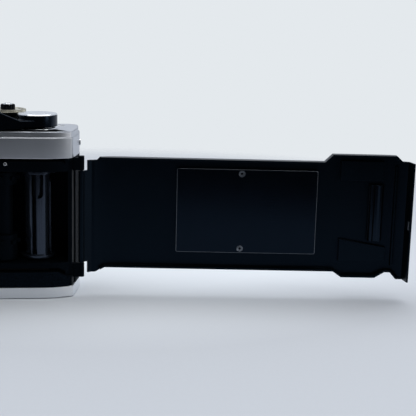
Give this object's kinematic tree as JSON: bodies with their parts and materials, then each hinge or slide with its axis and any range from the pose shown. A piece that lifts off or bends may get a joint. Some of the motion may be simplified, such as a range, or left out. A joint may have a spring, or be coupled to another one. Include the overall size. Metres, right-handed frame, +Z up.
{
  "type": "half-frame single-lens reflex camera",
  "caption": "Metal 35 mm single-lens reflex camera for half-frame pictures, standing on its base with the film door hinged open; lens, winding lever and rewind crank work.",
  "frame": {"origin": "mouth of the tripod socket in the base, under the lens axis", "axes": "+X to the user's right, +Y forward out of the lens, +Z up"},
  "size_m": [0.292, 0.0868, 0.0939],
  "materials": {
    "black_casting": "satin black lacquer on die-cast aluminium",
    "leatherette": "grained black leatherette",
    "satin_chrome": "satin chrome on pressed brass",
    "bright_chrome": "polished chrome",
    "gate_steel": "ground steel",
    "black_steel": "blackened steel",
    "plate_black": "gloss black lacquered plate with fine dimples",
    "flock_black": "matt anti-reflection black",
    "optical_glass": "polished coated glass",
    "ground_glass": "ground acrylic screen",
    "mirror_silver": "front-silvered glass",
    "black_plastic": "moulded black plastic",
    "spool_plastic": "smooth black moulding",
    "black_anodised": "black anodised aluminium",
    "black_rubber": "ribbed rubber grip",
    "foam": "foam light seal",
    "dial_silver": "satin anodised aluminium, knurled edge"
  },
  "bodies": {
    "camera_body": {"body_casting": "black_casting", "leatherette": "leatherette", "bottom_cover": "satin_chrome", "top_cover": "satin_chrome", "film_gate": "gate_steel", "mirror_box": "flock_black", "focusing_screen": "ground_glass", "pentaprism": "optical_glass", "eyepiece_frame": "black_plastic", "eyepiece_glass": "optical_glass", "mount_ring": "satin_chrome", "lens_barrel": "black_anodised", "lever_collar": "bright_chrome", "counter_window": "optical_glass", "accessory_shoe": "bright_chrome", "tripod_bush": "bright_chrome", "battery_cover": "bright_chrome", "flash_socket": "bright_chrome", "strap_lugs": "bright_chrome", "cover_screws": "bright_chrome", "hinge_lugs": "black_casting", "hinge_pin": "black_steel", "light_seals": "foam"},
    "shutter_top": {"shutter_blade_1": "black_steel"},
    "shutter_middle": {"shutter_blade_2": "black_steel"},
    "shutter_bottom": {"shutter_blade_3": "black_steel"},
    "mirror": {"mirror_frame": "flock_black", "reflex_mirror": "mirror_silver"},
    "aperture_ring": {"aperture_ring": "black_anodised"},
    "focus_ring": {"focus_ring": "black_rubber"},
    "lens_cell": {"lens_cell": "black_anodised", "front_glass": "optical_glass", "rear_glass": "optical_glass"},
    "lever": {"advance_lever": "black_plastic", "lever_cap": "bright_chrome"},
    "spool": {"take_up_spool": "spool_plastic"},
    "sprocket": {"sprocket": "black_steel"},
    "counter": {"counter_disc": "black_plastic"},
    "counter_reset": {"counter_reset_pin": "gate_steel"},
    "speed_dial": {"speed_dial": "dial_silver"},
    "shutter_button": {"shutter_button": "bright_chrome"},
    "latch": {"latch_bar": "gate_steel"},
    "rewind_spindle": {"rewind_shaft": "gate_steel", "rewind_knob": "satin_chrome"},
    "rewind_crank": {"rewind_crank": "bright_chrome"},
    "rewind_button": {"rewind_button": "bright_chrome"},
    "self_timer": {"self_timer_lever": "bright_chrome"},
    "lens_release": {"lens_release": "bright_chrome"},
    "door": {"back_door": "black_casting", "door_covering": "leatherette", "plate_spring": "black_steel", "cassette_spring": "black_plastic", "latch_catch": "gate_steel"},
    "plate": {"pressure_plate": "plate_black", "plate_rivets": "gate_steel"},
    "iris_1": {"iris_blade_1": "black_steel"},
    "iris_2": {"iris_blade_2": "black_steel"},
    "iris_3": {"iris_blade_3": "black_steel"},
    "iris_4": {"iris_blade_4": "black_steel"},
    "iris_5": {"iris_blade_5": "black_steel"}
  },
  "joints": [
    {"name": "door_hinge", "type": "hinge", "parent": "camera_body", "child": "door", "pos_m": [0.07405, -0.0099, 0.035], "axis": [0, 0, 1], "range_deg": [-174.9, 0]},
    {"name": "plate_press", "type": "slide", "parent": "door", "child": "plate", "axis": [0.0889, 0.996, 0], "range_m": [0, 0.0007], "stiffness_N_per_m": 400},
    {"name": "lever_stroke", "type": "hinge", "parent": "camera_body", "child": "lever", "pos_m": [0.055, -0.0025, 0.0755], "axis": [0, 0, 1], "range_deg": [0, 140], "stiffness_Nm_per_rad": 0.006},
    {"name": "spool_turn", "type": "hinge", "parent": "camera_body", "child": "spool", "pos_m": [0.055, -0.0025, 0.0355], "axis": [0, 0, 1], "range_deg": [0, 181]},
    {"name": "sprocket_turn", "type": "hinge", "parent": "camera_body", "child": "sprocket", "pos_m": [0.0402, -0.007, 0.0355], "axis": [0, 0, 1], "range_deg": [0, 181]},
    {"name": "counter_turn", "type": "hinge", "parent": "camera_body", "child": "counter", "pos_m": [0.063, 0.009, 0.0705], "axis": [0, 0, 1], "range_deg": [0, 5.1]},
    {"name": "counter_reset_press", "type": "slide", "parent": "camera_body", "child": "counter_reset", "axis": [0, 1, 0], "range_m": [0, 0.001]},
    {"name": "speed_dial_turn", "type": "hinge", "parent": "camera_body", "child": "speed_dial", "pos_m": [0.0415, 0.0076, 0.078], "axis": [0, 0, 1], "range_deg": [0, 300]},
    {"name": "shutter_press", "type": "slide", "parent": "camera_body", "child": "shutter_button", "axis": [0, 0, -1], "range_m": [0, 0.0016], "stiffness_N_per_m": 300},
    {"name": "latch_lift", "type": "slide", "parent": "camera_body", "child": "latch", "axis": [0, 0, 1], "range_m": [0, 0.0045], "stiffness_N_per_m": 300},
    {"name": "rewind_spin", "type": "hinge", "parent": "latch", "child": "rewind_spindle", "pos_m": [-0.0495, -0.001, 0.074], "axis": [0, 0, 1], "continuous": true},
    {"name": "crank_fold", "type": "hinge", "parent": "rewind_spindle", "child": "rewind_crank", "pos_m": [-0.0419, -0.001, 0.0777], "axis": [0, 1, 0], "range_deg": [0, 130]},
    {"name": "rewind_release", "type": "slide", "parent": "camera_body", "child": "rewind_button", "axis": [0, 0, 1], "range_m": [0, 0.0012], "stiffness_N_per_m": 300},
    {"name": "self_timer_turn", "type": "hinge", "parent": "camera_body", "child": "self_timer", "pos_m": [0.045, 0.019, 0.036], "axis": [0, 1, 0], "range_deg": [0, 175]},
    {"name": "lens_release_press", "type": "slide", "parent": "camera_body", "child": "lens_release", "axis": [0, -1, 0], "range_m": [0, 0.0016], "stiffness_N_per_m": 300},
    {"name": "mirror_flip", "type": "hinge", "parent": "camera_body", "child": "mirror", "pos_m": [0, -0.0049, 0.053], "axis": [1, 0, 0], "range_deg": [0, 45], "stiffness_Nm_per_rad": 0.004, "springref_deg": -17.19},
    {"name": "shutter_run", "type": "slide", "parent": "camera_body", "child": "shutter_top", "axis": [0, 0, -1], "range_m": [0, 0.0268]},
    {"name": "shutter_run_middle", "type": "slide", "parent": "camera_body", "child": "shutter_middle", "axis": [0, 0, -1], "range_m": [0, 0.0186]},
    {"name": "shutter_run_bottom", "type": "slide", "parent": "camera_body", "child": "shutter_bottom", "axis": [0, 0, -1], "range_m": [0, 0.0105]},
    {"name": "focus_turn", "type": "hinge", "parent": "camera_body", "child": "focus_ring", "pos_m": [0, 0.045, 0.0383], "axis": [0, 1, 0], "range_deg": [0, 180]},
    {"name": "focus_travel", "type": "slide", "parent": "camera_body", "child": "lens_cell", "axis": [0, 1, 0], "range_m": [0, 0.005]},
    {"name": "aperture_turn", "type": "hinge", "parent": "camera_body", "child": "aperture_ring", "pos_m": [0, 0.033, 0.0383], "axis": [0, 1, 0], "range_deg": [0, 60]},
    {"name": "iris_turn_1", "type": "hinge", "parent": "lens_cell", "child": "iris_1", "pos_m": [0.01736, 0.0391, 0.03951], "axis": [0, -1, 0], "range_deg": [0, 25.2]},
    {"name": "iris_turn_2", "type": "hinge", "parent": "lens_cell", "child": "iris_2", "pos_m": [0.00652, 0.0397, 0.02217], "axis": [0, -1, 0], "range_deg": [0, 25.2]},
    {"name": "iris_turn_3", "type": "hinge", "parent": "lens_cell", "child": "iris_3", "pos_m": [-0.01333, 0.0403, 0.02712], "axis": [0, -1, 0], "range_deg": [0, 25.2]},
    {"name": "iris_turn_4", "type": "hinge", "parent": "lens_cell", "child": "iris_4", "pos_m": [-0.01476, 0.0409, 0.04752], "axis": [0, -1, 0], "range_deg": [0, 25.2]},
    {"name": "iris_turn_5", "type": "hinge", "parent": "lens_cell", "child": "iris_5", "pos_m": [0.00421, 0.0415, 0.05518], "axis": [0, -1, 0], "range_deg": [0, 25.2]}
  ],
  "couplings": [
    {"joint": "spool_turn", "follows": "lever_stroke", "ratio": 1.2857},
    {"joint": "sprocket_turn", "follows": "lever_stroke", "ratio": 1.2857},
    {"joint": "counter_turn", "follows": "lever_stroke", "ratio": 0.03571},
    {"joint": "counter_reset_press", "follows": "door_hinge", "m_per_rad": -0.000327},
    {"joint": "focus_travel", "follows": "focus_turn", "m_per_rad": 0.0015914},
    {"joint": "shutter_run_middle", "follows": "shutter_run", "ratio": 0.69},
    {"joint": "shutter_run_bottom", "follows": "shutter_run", "ratio": 0.388},
    {"joint": "iris_turn_1", "follows": "aperture_turn", "ratio": 0.41667},
    {"joint": "iris_turn_2", "follows": "aperture_turn", "ratio": 0.41667},
    {"joint": "iris_turn_3", "follows": "aperture_turn", "ratio": 0.41667},
    {"joint": "iris_turn_4", "follows": "aperture_turn", "ratio": 0.41667},
    {"joint": "iris_turn_5", "follows": "aperture_turn", "ratio": 0.41667}
  ]
}
